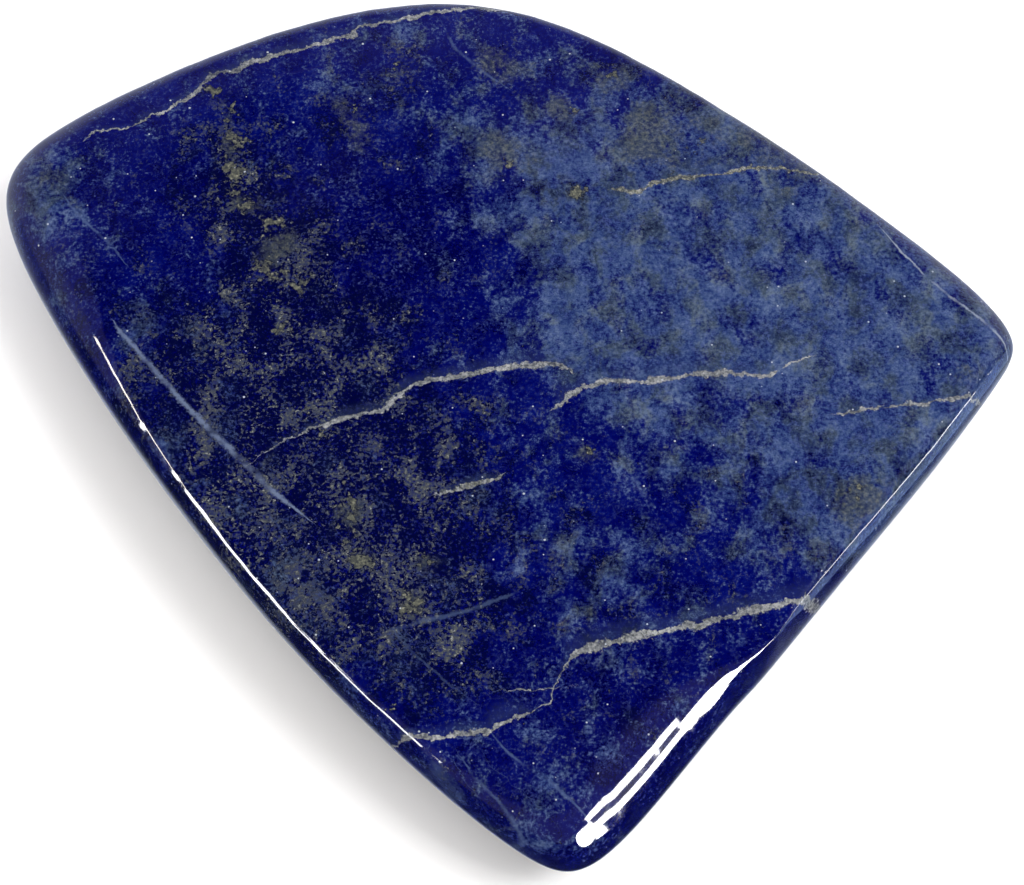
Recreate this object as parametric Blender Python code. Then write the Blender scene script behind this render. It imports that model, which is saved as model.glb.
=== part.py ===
"""A polished lapis lazuli freeform: a thick slab of stone with a gently crowned face,
edges rolled over by hand polishing, sides that tuck in underneath and a flat ground base.
It lies on the base. Metres, +Z up, the origin under the middle of the stone at the base."""

import bmesh
import bpy
import numpy as np

MM = 0.001

THICKNESS = 20.0  # millimetres from the base to the crown of the face
CROWN = 1.3  # how much lower the face is at its edges than in the middle
CROWN_REACH = 58.0  # distance from the crown at which it is that much lower
CROWN_PLACE = (2.0, 5.0)
# Each ripple of the hand polish: height, wavelength, direction in degrees and phase in degrees.
RIPPLES = [(0.07, 41.0, 24.0, 40.0), (0.05, 29.0, 105.0, 200.0), (0.04, 23.0, 158.0, 90.0)]

# The widest outline, clockwise from the left corner, in millimetres. Each station has its
# place (x, y), then how far in and how far down the face rolls over to reach the outline.
STATIONS = [
    (-57.4, 27.2, 5.2, 5.2),
    (-56.1, 32.7, 5.0, 5.0),
    (-50.6, 37.7, 4.4, 4.8),
    (-39.2, 44.2, 3.4, 4.6),
    (-21.9, 51.3, 3.0, 4.4),
    (-7.9, 53.6, 2.8, 4.2),
    (1.9, 52.2, 2.6, 4.0),
    (11.1, 48.2, 2.4, 3.8),
    (27.1, 37.3, 2.4, 3.8),
    (43.3, 24.2, 3.4, 4.0),
    (53.7, 14.4, 4.0, 4.2),
    (57.5, 8.0, 3.6, 4.0),
    (56.4, 5.0, 2.6, 4.6),
    (48.6, -6.0, 1.8, 5.0),
    (37.0, -20.6, 1.4, 5.6),
    (28.0, -31.8, 1.6, 6.4),
    (25.6, -34.4, 2.6, 6.8),
    (20.1, -41.1, 5.4, 7.2),
    (12.5, -50.1, 6.0, 7.0),
    (7.5, -53.5, 4.0, 5.6),
    (2.2, -52.1, 2.6, 4.2),
    (-11.3, -41.0, 1.5, 3.4),
    (-27.7, -23.1, 1.2, 3.1),
    (-43.2, -1.2, 2.8, 3.7),
    (-52.3, 14.4, 6.0, 4.9),
]
SPLINE_SAMPLES = 8000  # points taken on the smooth curve through the stations
OUTLINE_STEP = 0.25  # spacing of the points that the outline is first worked out at
UPPER_TURN_SPREAD = 8.0  # the way in turns this gradually round a corner above the outline
LOWER_TURN_SPREAD = 12.0  # and this gradually below it

TUCK = 13.0  # how far the underside tucks in from the outline to the base
TUCK_ANGLE = 58.0  # degrees of an ellipse that the tuck runs through before it meets the base

LONGEST_FACET = 4.2  # along the outline
SHARPEST_TURN = 5.5  # degrees from one facet of the outline to the next
SHOULDER_RINGS = 8
TUCK_RINGS = 7
FACE_RINGS = 8

STONE_BLUE = (0.013, 0.018, 0.145, 1.0)
STONE_ROUGHNESS = 0.12


def clear_scene():
    for found in list(bpy.data.objects):
        bpy.data.objects.remove(found)


def closed_spline(knots, values, places):
    """A smooth closed curve through the values at the knots. The last knot closes the loop."""
    gaps = np.diff(knots)
    count = len(gaps)
    matrix = np.zeros((count, count))
    slopes = (np.roll(values, -1, axis=0) - values) / gaps[:, None]
    for row in range(count):
        before = row - 1
        matrix[row, before] += gaps[before]
        matrix[row, row] += 2 * (gaps[before] + gaps[row])
        matrix[row, (row + 1) % count] += gaps[row]
    bends = np.linalg.solve(matrix, 6 * (slopes - np.roll(slopes, 1, axis=0)))
    span = np.clip(np.searchsorted(knots, places, side="right") - 1, 0, count - 1)
    following = (span + 1) % count
    gap = gaps[span][:, None]
    ahead = (places - knots[span])[:, None]
    behind = gap - ahead
    return (
        (bends[span] * behind**3 + bends[following] * ahead**3) / (6 * gap)
        + (values[span] / gap - bends[span] * gap / 6) * behind
        + (values[following] / gap - bends[following] * gap / 6) * ahead
    )


def spread_round(values, spread):
    """The values averaged with their neighbours along the outline, over about that many millimetres."""
    count = len(values)
    steps = np.minimum(np.arange(count), count - np.arange(count))
    weights = np.exp(-0.5 * (steps * OUTLINE_STEP / spread) ** 2)
    kernel = np.fft.rfft(weights / weights.sum())[:, None]
    return np.fft.irfft(np.fft.rfft(values, axis=0) * kernel, count, axis=0)


def unit(vectors):
    return vectors / np.linalg.norm(vectors, axis=1)[:, None]


def rim_of_the_stone():
    """Points along the widest outline, with the roll-over there and the ways in above and below."""
    stations = np.array(STATIONS)
    chords = np.linalg.norm(np.roll(stations, -1, axis=0)[:, :2] - stations[:, :2], axis=1)
    # The square root of each chord keeps the curve from swinging wide at the short ones.
    knots = np.concatenate([[0.0], np.cumsum(chords**0.5)])
    fine = np.linspace(0, knots[-1], SPLINE_SAMPLES, endpoint=False)
    table = closed_spline(knots, stations, fine)
    closed = np.vstack([table, table[:1]])
    along = np.concatenate([[0.0], np.cumsum(np.linalg.norm(np.diff(closed[:, :2], axis=0), axis=1))])
    count = round(along[-1] / OUTLINE_STEP)
    even = np.linspace(0, along[-1], count, endpoint=False)
    table = np.column_stack([np.interp(even, along, column) for column in closed.T])
    tangent = unit(np.roll(table, -1, axis=0)[:, :2] - np.roll(table, 1, axis=0)[:, :2])
    inward = np.column_stack([tangent[:, 1], -tangent[:, 0]])
    turning = np.abs(np.cross(tangent, np.roll(tangent, -1, axis=0)))
    return {
        "place": table[:, :2],
        "roll_in": table[:, 2],
        "roll_down": table[:, 3],
        "way_in_above": unit(spread_round(inward, UPPER_TURN_SPREAD)),
        "way_in_below": unit(spread_round(inward, LOWER_TURN_SPREAD)),
        "turning": np.degrees(np.arcsin(np.clip(turning, 0, 1))),
    }


def thin_out(rim, longest, sharpest):
    """Keeps the points of the rim that leave no facet longer or turning more sharply than this."""
    used = np.cumsum(OUTLINE_STEP / longest + rim["turning"] / sharpest)
    count = round(used[-1])
    keep = np.searchsorted(used, (np.arange(count) + 0.5) * used[-1] / count)
    return {name: values[keep] for name, values in rim.items()}


def face_height(place):
    """The polished face: a crown, with the faint ripples that hand polishing leaves."""
    away = np.linalg.norm(place - np.array(CROWN_PLACE), axis=1)
    height = THICKNESS - CROWN * (away / CROWN_REACH) ** 2
    for size, wavelength, direction, phase in RIPPLES:
        heading = np.array([np.cos(np.radians(direction)), np.sin(np.radians(direction))])
        height += size * np.sin(2 * np.pi * (place @ heading) / wavelength + np.radians(phase))
    return height


def rings_of_the_stone(rim, shoulder_rings, tuck_rings, face_rings):
    """The loft's rings, from the base edge up over the outline and the roll-over, then in across the face."""
    roll_in = rim["roll_in"][:, None]
    rings = []
    outline_height = face_height(rim["place"]) - rim["roll_down"]
    for turn in np.radians(np.linspace(TUCK_ANGLE, 0, tuck_rings + 1)):
        inset = TUCK * (1 - np.cos(turn)) / (1 - np.cos(np.radians(TUCK_ANGLE)))
        height = outline_height * (1 - np.sin(turn) / np.sin(np.radians(TUCK_ANGLE)))
        rings.append(np.column_stack([rim["place"] + rim["way_in_below"] * inset, height]))
    for turn in np.radians(np.linspace(90, 0, shoulder_rings + 1))[1:]:
        place = rim["place"] + rim["way_in_above"] * roll_in * (1 - np.sin(turn))
        drop = rim["roll_down"] * (1 - np.cos(turn))
        rings.append(np.column_stack([place, face_height(place) - drop]))
    edge = rings[-1][:, :2]
    middle = np.array(CROWN_PLACE)
    for share in np.linspace(1, 0, face_rings + 1)[1:-1]:
        place = middle + (edge - middle) * share
        rings.append(np.column_stack([place, face_height(place)]))
    crown = np.append(middle, face_height(middle[None])[0])
    return rings, crown


def loft(name, rings, crown):
    """A closed mesh: quads between the rings, a fan at the crown and one flat face at the base."""
    mesh = bmesh.new()
    rows = [[mesh.verts.new(point * MM) for point in ring] for ring in rings]
    top = mesh.verts.new(crown * MM)
    count = len(rows[0])
    for lower, upper in zip(rows, rows[1:]):
        for here in range(count):
            there = (here + 1) % count
            mesh.faces.new((lower[here], upper[here], upper[there], lower[there]))
    for here in range(count):
        mesh.faces.new((rows[-1][here], top, rows[-1][(here + 1) % count]))
    base = mesh.faces.new(rows[0])
    bmesh.ops.recalc_face_normals(mesh, faces=mesh.faces)
    for face in mesh.faces:
        face.smooth = face is not base
    made = bpy.data.meshes.new(name)
    mesh.to_mesh(made)
    mesh.free()
    return made


def lapis_material():
    material = bpy.data.materials.new("polished_lapis")
    material.use_nodes = True
    shader = material.node_tree.nodes["Principled BSDF"]
    shader.inputs["Base Color"].default_value = STONE_BLUE
    shader.inputs["Roughness"].default_value = STONE_ROUGHNESS
    shader.inputs["Metallic"].default_value = 0.0
    return material


def stone():
    rim = thin_out(rim_of_the_stone(), LONGEST_FACET, SHARPEST_TURN)
    rings, crown = rings_of_the_stone(rim, SHOULDER_RINGS, TUCK_RINGS, FACE_RINGS)
    made = bpy.data.objects.new("lapis_stone", loft("lapis_stone", rings, crown))
    made.data.materials.append(lapis_material())
    return made


def main():
    clear_scene()
    parts = bpy.data.collections.new("lapis_freeform")
    bpy.context.scene.collection.children.link(parts)
    parts.objects.link(stone())


main()
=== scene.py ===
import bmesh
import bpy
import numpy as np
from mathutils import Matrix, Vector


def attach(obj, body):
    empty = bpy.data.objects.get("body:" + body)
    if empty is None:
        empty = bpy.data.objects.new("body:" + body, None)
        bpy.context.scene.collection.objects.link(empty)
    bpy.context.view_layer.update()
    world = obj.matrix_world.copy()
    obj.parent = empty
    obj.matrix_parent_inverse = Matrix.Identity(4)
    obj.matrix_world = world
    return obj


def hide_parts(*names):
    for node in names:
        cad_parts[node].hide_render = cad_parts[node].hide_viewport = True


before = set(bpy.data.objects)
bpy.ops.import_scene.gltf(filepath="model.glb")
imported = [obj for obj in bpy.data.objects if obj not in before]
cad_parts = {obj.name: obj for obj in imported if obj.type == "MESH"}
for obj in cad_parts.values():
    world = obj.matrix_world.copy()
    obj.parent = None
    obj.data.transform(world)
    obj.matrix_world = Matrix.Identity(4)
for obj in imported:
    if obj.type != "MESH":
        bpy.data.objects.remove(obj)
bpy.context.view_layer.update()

# The polished face and sides of a lapis lazuli freeform. The stone is lofted again here, far more
# finely than in the CAD, and its veins, zones and specks are one procedural material. Shapes are
# worked out in millimetres, in the CAD's frame, and become metres when the mesh is made.

MM = 0.001

# The form, the same as in the CAD.
THICKNESS = 20.0  # from the base to the crown of the face
CROWN = 1.3  # how much lower the face is at its edges than in the middle
CROWN_REACH = 58.0  # distance from the crown at which it is that much lower
CROWN_PLACE = (2.0, 5.0)
# Each ripple of the hand polish: height, wavelength, direction in degrees and phase in degrees.
RIPPLES = [(0.07, 41.0, 24.0, 40.0), (0.05, 29.0, 105.0, 200.0), (0.04, 23.0, 158.0, 90.0)]
# The widest outline, clockwise from the left corner. Each station has its place (x, y), then how
# far in and how far down the face rolls over to reach the outline.
STATIONS = [
    (-57.4, 27.2, 5.2, 5.2),
    (-56.1, 32.7, 5.0, 5.0),
    (-50.6, 37.7, 4.4, 4.8),
    (-39.2, 44.2, 3.4, 4.6),
    (-21.9, 51.3, 3.0, 4.4),
    (-7.9, 53.6, 2.8, 4.2),
    (1.9, 52.2, 2.6, 4.0),
    (11.1, 48.2, 2.4, 3.8),
    (27.1, 37.3, 2.4, 3.8),
    (43.3, 24.2, 3.4, 4.0),
    (53.7, 14.4, 4.0, 4.2),
    (57.5, 8.0, 3.6, 4.0),
    (56.4, 5.0, 2.6, 4.6),
    (48.6, -6.0, 1.8, 5.0),
    (37.0, -20.6, 1.4, 5.6),
    (28.0, -31.8, 1.6, 6.4),
    (25.6, -34.4, 2.6, 6.8),
    (20.1, -41.1, 5.4, 7.2),
    (12.5, -50.1, 6.0, 7.0),
    (7.5, -53.5, 4.0, 5.6),
    (2.2, -52.1, 2.6, 4.2),
    (-11.3, -41.0, 1.5, 3.4),
    (-27.7, -23.1, 1.2, 3.1),
    (-43.2, -1.2, 2.8, 3.7),
    (-52.3, 14.4, 6.0, 4.9),
]
# The hand polish also waves the inner edge of the roll-over: each wave's size, how many of them go
# round the outline, and the phase in degrees.
ROLL_WAVES = [(0.06, 31, 20.0), (0.045, 53, 140.0), (0.03, 83, 250.0), (0.02, 131, 70.0)]
# Along the right-hand front edge the roll-over pinches to a crease. The place x, y, then how far to
# each side of it the pinch reaches, and the share of the width that it takes away.
ROLL_PINCH = (28.8, -31.2, 3.5, 0.78)
SPLINE_SAMPLES = 24000  # points taken on the smooth curve through the stations
OUTLINE_STEP = 0.08  # spacing of the points that the outline is first worked out at
UPPER_TURN_SPREAD = 8.0  # the way in turns this gradually round a corner above the outline
LOWER_TURN_SPREAD = 12.0  # and this gradually below it
TUCK = 13.0  # how far the underside tucks in from the outline to the base
TUCK_ANGLE = 58.0  # degrees of an ellipse that the tuck runs through before it meets the base

# How finely it is lofted here.
LONGEST_FACET = 0.8  # along the outline
SHARPEST_TURN = 3.0  # degrees from one facet of the outline to the next
BASE_RINGS = 28
TUCK_RINGS = 14
SHOULDER_RINGS = 16
FACE_RINGS = 100
SHARP_EDGE = 0.6  # radians between two facets that are shaded apart, as at the edge of the base

# The veins, as routes across the face. First comes how much of the vein is pyrite, then the points
# of its route: x, y and half the vein's width there.
VEINS = [
    # along the far left edge, thin first and then a thick broken band
    (0.06, [(-48.6, 33.0, 0.0), (-47.3, 34.4, 0.12), (-43.8, 34.5, 0.15),
            (-42.5, 34.8, 0.12), (-41.0, 36.3, 0.20), (-39.2, 36.6, 0.16), (-38.2, 37.8, 0.22),
            (-36.9, 38.5, 0.20), (-35.2, 39.9, 0.22), (-34.2, 41.7, 0.22), (-32.8, 42.2, 0.20),
            (-31.2, 42.5, 0.24), (-30.0, 43.5, 0.30), (-27.5, 44.2, 0.34), (-24.1, 45.3, 0.36),
            (-19.4, 46.9, 0.36), (-17.4, 47.5, 0.30), (-16.8, 48.5, 0.26), (-12.3, 49.5, 0.32),
            (-9.7, 50.3, 0.34), (-3.7, 51.4, 0.30), (0.4, 51.3, 0.22), (4.4, 50.6, 0.0)]),
    # across the middle, from the left
    (0.12, [(-28.6, -10.3, 0.0), (-25.4, -7.6, 0.10), (-22.1, -5.7, 0.16), (-17.3, -3.6, 0.30),
            (-12.9, -2.9, 0.36), (-11.3, -0.7, 0.32), (-9.6, 0.5, 0.34), (-5.8, 1.2, 0.36),
            (-0.2, 2.2, 0.42), (4.2, 2.9, 0.46), (6.4, 2.6, 0.30), (8.0, 1.8, 0.0)]),
    # the golden one near the far right edge
    (0.80, [(12.0, 25.9, 0.0), (13.6, 25.8, 0.30), (15.2, 25.4, 0.40), (17.2, 26.7, 0.34),
            (19.6, 27.3, 0.26), (21.2, 27.4, 0.34), (23.3, 27.7, 0.26), (26.8, 28.4, 0.30),
            (30.4, 29.0, 0.34), (33.1, 28.6, 0.34), (35.5, 28.2, 0.26), (38.0, 28.6, 0.18),
            (41.0, 29.0, 0.0)]),
    # the short one that runs off the right edge
    (0.10, [(36.0, -3.3, 0.0), (37.2, -3.1, 0.14), (39.4, -2.6, 0.24), (43.8, -2.0, 0.30),
            (47.2, -1.6, 0.24), (51.6, -0.7, 0.22), (55.0, -0.1, 0.18), (60.0, 0.6, 0.12)]),
    # the long low one, from the lower left edge to the right edge
    (0.25, [(-15.4, -49.0, 0.10), (-12.7, -44.8, 0.14), (-11.5, -42.5, 0.22), (-9.6, -41.4, 0.26),
            (-7.5, -41.6, 0.32), (-5.3, -41.4, 0.34), (-3.4, -41.0, 0.36), (-1.5, -40.9, 0.36),
            (-0.6, -40.4, 0.44), (0.4, -39.6, 0.50), (1.3, -39.3, 0.50), (2.6, -39.3, 0.34),
            (3.7, -38.4, 0.08), (5.1, -37.6, 0.08), (5.4, -35.9, 0.10), (6.1, -34.6, 0.12),
            (7.2, -33.0, 0.18), (8.0, -32.0, 0.42), (9.8, -31.3, 0.55), (11.7, -30.7, 0.55),
            (15.8, -29.8, 0.52), (21.1, -28.7, 0.48), (24.9, -27.5, 0.55), (27.6, -26.7, 0.50),
            (31.9, -25.7, 0.62), (35.1, -25.2, 0.70), (39.4, -24.6, 0.45), (46.0, -24.0, 0.30)]),
    # a short golden one left of the middle
    (0.55, [(-7.6, -13.5, 0.0), (-6.7, -13.3, 0.12), (-5.1, -12.8, 0.26), (-2.4, -11.9, 0.32),
            (-0.6, -11.4, 0.22), (0.6, -11.0, 0.0)]),
]
# Veins that start close to one of those. They are a list of their own, because a place takes its
# distance from one vein of each list alone, the nearest.
TWIGS = [
    # across the middle, to the right
    (0.10, [(5.2, -3.0, 0.0), (6.2, -2.4, 0.20), (7.5, -0.9, 0.42), (9.2, -0.1, 0.46),
            (11.9, 0.8, 0.40), (15.2, 0.7, 0.42), (19.7, 1.4, 0.50), (24.1, 1.8, 0.40),
            (29.6, 1.4, 0.34), (31.9, 3.1, 0.22), (34.7, 4.3, 0.0)]),
    # a twig of the low one
    (0.20, [(-0.2, -36.1, 0.0), (2.5, -36.2, 0.10), (5.3, -36.0, 0.10)]),
]
VEIN_REACH = 3.0  # beyond this distance a vein leaves no trace

# Soft pale streaks, where a healed crack shows, and at the right corner also a painted rim highlight:
# each point is x, y and half the streak's width.
# The first number is how pale the streak is.
STREAKS = [
    (0.90, [(-43.6, 9.0, 0.0), (-42.6, 7.5, 0.24), (-38.5, 2.4, 0.26), (-34.4, -2.6, 0.30),
            (-28.6, -8.8, 0.34), (-24.6, -13.1, 0.30), (-20.2, -16.8, 0.0)]),
    (0.55, [(-1.4, -40.6, 0.0), (0.4, -43.0, 0.14), (2.6, -44.8, 0.14), (4.1, -45.6, 0.16),
            (6.0, -47.3, 0.16), (8.7, -49.9, 0.12), (12.0, -54.0, 0.0)]),
    (0.50, [(-4.9, -42.6, 0.0), (-3.0, -45.8, 0.12), (-0.6, -48.3, 0.14), (1.1, -50.1, 0.16),
            (3.2, -52.7, 0.14), (5.0, -56.0, 0.0)]),
    (0.35, [(-7.4, -43.8, 0.0), (-6.5, -44.8, 0.4), (-4.8, -47.1, 0.6), (-2.4, -48.8, 0.0)]),
    (0.30, [(-13.5, -27.5, 0.0), (-9.7, -31.6, 0.12), (-5.4, -35.7, 0.12), (-2.3, -38.0, 0.0)]),
    (0.45, [(-7.6, 50.2, 0.0), (-5.6, 45.5, 0.20), (-2.6, 42.4, 0.18), (1.2, 39.3, 0.0)]),
    (0.50, [(-50.4, 26.0, 0.0), (-48.3, 23.0, 0.16), (-45.7, 20.2, 0.12), (-44.5, 19.1, 0.18),
            (-42.0, 15.6, 0.0)]),
    # The palest, along the upper edge of the right corner, is a real streak and also a painted highlight:
    # it stands for the thin pale rim highlight along that edge.
    (1.15, [(42.6, 21.6, 0.0), (45.0, 18.0, 0.12), (47.4, 14.9, 0.10), (50.4, 11.9, 0.14),
            (53.9, 8.8, 0.16), (57.5, 5.2, 0.08)]),
    (0.40, [(-14.0, -29.9, 0.0), (-10.8, -29.0, 0.22), (-7.6, -28.1, 0.26), (-3.4, -26.9, 0.24),
            (-0.2, -25.7, 0.20), (3.0, -24.3, 0.0)]),
]

# The zones of the stone. Each spot is x, y, radius and strength. A negative one clears a zone.
MILKY_AND_SHEEN_SPOTS = [  # pale, milky blue, and painted reflected haze along the lower left edge
    (13.4, 24.6, 8, 0.6), (13.2, 11.4, 7, 0.6), (19.5, 21.5, 7, 0.8), (24.4, 11.4, 9, 0.6),
    (31.4, 17.9, 8, 0.5), (33.2, 7.5, 8, 0.5), (29.5, 30.0, 8, 0.5), (22.9, 38.2, 6, 0.35),
    (39.3, 17.9, 8, 0.5), (42.2, 8.8, 8, 0.7), (47.7, 7.5, 6, 0.7), (26.1, -5.1, 7, 0.22),
    (19.5, -7.6, 6, 0.15), (15.3, 1.2, 5, 0.35), (39.5, -1.4, 6, 0.5), (30.3, -11.3, 7, 0.18),
    (38.0, -11.0, 5, 0.7), (12.5, -2.5, 4, 0.35), (12.0, -20.0, 5, 0.25), (12.5, -27.5, 4, 0.4),
    (4.5, -48.0, 4, 0.4), (33.5, -16.5, 5, 0.4), (3.5, -20.0, 5, 0.2), (23.6, -16.2, 6, 0.12),
    (43.7, -5.1, 5, 0.3), (52.5, -2.5, 5, 0.7), (47.0, -10.5, 5, 0.6),
    (58.5, 5.0, 4, 0.7), (41.0, -18.0, 3, 0.4), (6.1, 43.8, 6, 0.15), (11.2, 35.5, 6, 0.2),
    (8.2, 21.0, 3.5, 0.45), (8.0, 14.0, 3.5, 0.45), (8.6, 7.0, 3.5, 0.4), (-15.0, 44.0, 7, 0.3),
    # The spots of radius 3 along the lower left edge, from (-41.5, 4.0) to (-12.0, -33.5), are painted
    # reflected haze: they stand for the hazy reflection beside the highlight there.
    (-17.5, 30.5, 6, -0.22), (-41.0, 27.0, 7, -0.12), (-51.0, 25.5, 4, 0.9), (-36.0, -6.0, 3, 0.35),
    (-30.0, -13.5, 3, 0.35),
    (-24.0, -21.5, 3, 0.6), (-19.5, -26.5, 3, 0.5), (-12.0, -33.5, 3, 0.3), (-41.5, 4.0, 3, 0.35),
    (-15.0, 16.0, 7, -0.35), (-4.0, 31.0, 4, 0.5), (2.0, 31.0, 4, 0.5), (-33.0, 13.0, 4, 0.15),
    (4.5, 24.0, 3, 0.5),
]
DEEP_SPOTS = [  # the darkest blue
    (-14.0, 17.0, 7, 0.9), (-21.0, 12.0, 5, 0.5), (-30.0, -2.0, 9, 0.5), (-14.0, -22.0, 8, 0.5),
    (-20.0, -10.0, 8, 0.4), (-30.0, 25.0, 5, 0.5), (12.0, -40.0, 9, 0.7), (-42.0, 22.0, 8, 0.3),
    (-8.0, 2.0, 6, 0.2), (-5.0, 24.0, 6, 0.2),
]
SPECKLE_SPOTS = [  # crowded with fine dark and khaki specks
    (-33.4, 1.2, 6, 0.6), (-27.7, -3.9, 7, 0.7), (-22.1, -7.6, 7, 0.7), (-19.0, -1.4, 5, 0.6),
    (-13.3, -8.8, 6, 0.6), (-7.9, -3.9, 5, 0.2), (-16.4, -18.6, 7, 0.9), (-10.9, -25.7, 6, 1.0),
    (-6.5, -32.8, 5, 0.7), (-26.3, -13.7, 6, 0.8), (-38.1, 6.3, 5, 0.3), (-3.5, -11.3, 6, 0.2),
    (-12.5, 5.0, 5, 0.35), (-22.5, 6.3, 6, 0.45), (2.0, -3.9, 4, 0.1), (-24.6, 19.3, 5, 0.7),
    (-31.3, 31.7, 4, 0.7), (-30.0, 25.0, 4, 0.7), (-26.0, 12.0, 4, 0.6), (-18.2, 36.8, 3, 0.5),
    (-11.9, 42.4, 3, 0.5), (-20.0, -25.0, 6, 0.8), (-4.0, -19.0, 6, 0.3), (2.0, -14.0, 5, 0.05),
    (-46.0, 14.0, 4, 0.2), (16.0, -24.0, 6, 0.15), (8.0, -26.0, 5, 0.2), (6.6, 25.4, 3, 0.5),
    (22.0, -15.0, 9, 0.15), (36.0, -10.0, 7, 0.2), (-8.3, 31.0, 3, 0.35), (16.0, 41.0, 4, 0.3),
]
OLIVE_SPOTS = [  # yellowish grey-green patches
    (-24.6, 19.3, 1.8, 0.5), (-31.3, 32.7, 2.2, 0.5), (-18.2, 36.8, 2.4, 0.5), (-11.9, 42.4, 2.0, 0.5),
    (-15.8, 32.7, 1.8, 0.4), (-0.9, 43.8, 2.6, 0.55), (-0.5, 31.3, 2.2, 0.5), (6.6, 37.1, 1.4, 0.4),
    (20.4, 34.1, 3.6, 0.35), (27.8, 31.3, 3.4, 0.4), (38.9, -12.5, 2.2, 0.7), (51.8, 2.4, 1.8, 0.5),
    (-51.7, 28.0, 1.6, 0.6), (-49.0, 24.9, 1.4, 0.5), (9.6, -8.2, 1.4, 0.6), (-17.6, -13.7, 2.0, 0.35),
    (-9.8, -26.3, 1.8, 0.6), (15.8, 30.0, 3.5, 0.45), (34.0, 27.3, 3.0, 0.5), (13.1, 42.5, 2.0, 0.4),
    (0.6, 29.0, 2.0, 0.4), (8.5, 25.4, 1.2, 0.6), (-29.3, 23.9, 1.6, 0.6), (-27.1, 16.0, 1.4, 0.5),
    (-24.5, 7.5, 1.4, 0.4), (-16.5, -16.8, 2.0, 0.25), (-15.3, -21.0, 2.0, 0.5), (-8.3, -21.0, 1.6, 0.4),
    (36.8, -15.5, 1.8, 0.5), (45.0, -12.0, 2.5, 0.3), (-33.0, 38.6, 1.8, 0.5), (15.9, 35.5, 2.5, 0.4),
    (32.0, 34.1, 2.5, 0.4), (10.0, -27.5, 1.6, 0.4), (-12.0, 3.0, 2.0, 0.3), (-27.0, -9.0, 2.0, 0.3),
    (2.0, 36.5, 4.0, 0.25), (8.0, 41.0, 4.0, 0.2),
]
GOLD_SPOTS = [  # clusters of coarse pyrite grains
    (-33.3, 39.6, 0.9, 0.7), (-31.7, 36.8, 0.9, 0.6), (-30.2, 32.7, 1.2, 0.7), (-30.8, 25.9, 1.0, 0.7),
    (-29.3, 23.9, 0.9, 0.8), (-26.1, 21.3, 1.2, 0.8), (-27.1, 16.0, 1.0, 0.7), (-25.5, 14.3, 0.9, 0.6),
    (-22.7, 13.4, 1.2, 0.7), (-24.5, 7.5, 1.4, 0.5), (-19.4, -5.1, 1.2, 0.6), (-16.5, -13.7, 1.4, 0.55),
    (-17.0, -16.8, 1.3, 0.45), (-15.3, -21.0, 1.6, 0.7), (-9.8, -26.3, 1.4, 0.7), (-8.3, -21.0, 1.3, 0.5),
    (8.5, 25.4, 0.9, 0.9), (8.2, 36.8, 0.6, 0.7), (13.1, 42.2, 0.8, 0.6), (0.8, 29.3, 0.8, 0.6),
    (9.6, -8.2, 0.9, 0.5), (-17.2, 37.0, 1.1, 0.5), (-12.2, 42.6, 1.1, 0.5), (-11.5, -38.5, 0.7, 0.7),
    (-9.2, -36.4, 0.6, 0.6), (38.9, -12.5, 1.0, 0.5), (19.7, 27.6, 1.0, 0.6), (22.6, 32.0, 1.4, 0.4),
    (28.5, 30.2, 1.6, 0.4), (-23.0, 31.0, 1.0, 0.4), (-22.0, -1.0, 2.0, 0.3), (-31.0, 28.8, 1.2, 0.8),
]
DIP = (0.30, -0.18)  # how far the veins and zones shift for each millimetre below the face

CAMERA_HEIGHT_ANGLE = 62.0  # degrees above the floor
CAMERA_DISTANCE = 380.0
CAMERA_TARGET = (1.1, -3.8, 14.0)
LENS = 120.0
SENSOR = 36.0
CLIP_START = 0.01  # metres

FACE_LIGHT = 1.9  # the light that falls on the face, as a white surface would return it

# The colours of the stone as they show in that light, from 0 to 255.
NEAR_BLACK = (1, 4, 54)
FIBRE_BLUE = (90, 106, 170)
FLECK_BLUE = (96, 112, 154)
GRAIN_RIM = (8, 10, 40)
HALO_BLUE = (70, 84, 112)
STREAK_BLUE = (94, 114, 158)
STREAK_AND_HIGHLIGHT_WHITE = (186, 194, 206)
SPARKLE_WHITE = (196, 204, 218)
# And the ramps between colours, each colour with the noise value that it stands at.
DEEP_BLUES = [
    (0.24, (0, 0, 70)), (0.40, (0, 2, 90)), (0.52, (0, 6, 100)), (0.63, (8, 20, 110)),
    (0.78, (38, 54, 130)),
]
MILKY_BLUES = [
    (0.26, (20, 28, 94)), (0.40, (38, 54, 114)), (0.51, (58, 78, 130)), (0.64, (82, 102, 148)),
    (0.80, (120, 138, 168)),
]
GREEN_GREYS = [(0.30, (34, 46, 78)), (0.52, (72, 88, 108)), (0.75, (112, 126, 136))]
FLECK_GREYS = [
    (0.34, (38, 46, 96)), (0.44, (58, 66, 98)), (0.52, (80, 86, 94)), (0.60, (108, 111, 102)),
    (0.68, (176, 180, 178)),
]
OLIVES = [(0.34, (40, 48, 72)), (0.50, (72, 80, 84)), (0.66, (112, 114, 96))]
PYRITES = [
    (0.36, (50, 54, 66)), (0.48, (88, 92, 84)), (0.58, (124, 126, 108)), (0.70, (186, 184, 162)),
]
CALCITES = [
    (0.34, (58, 64, 86)), (0.43, (98, 102, 108)), (0.51, (140, 143, 146)), (0.60, (186, 188, 188)),
    (0.70, (236, 237, 236)),
]

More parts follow.
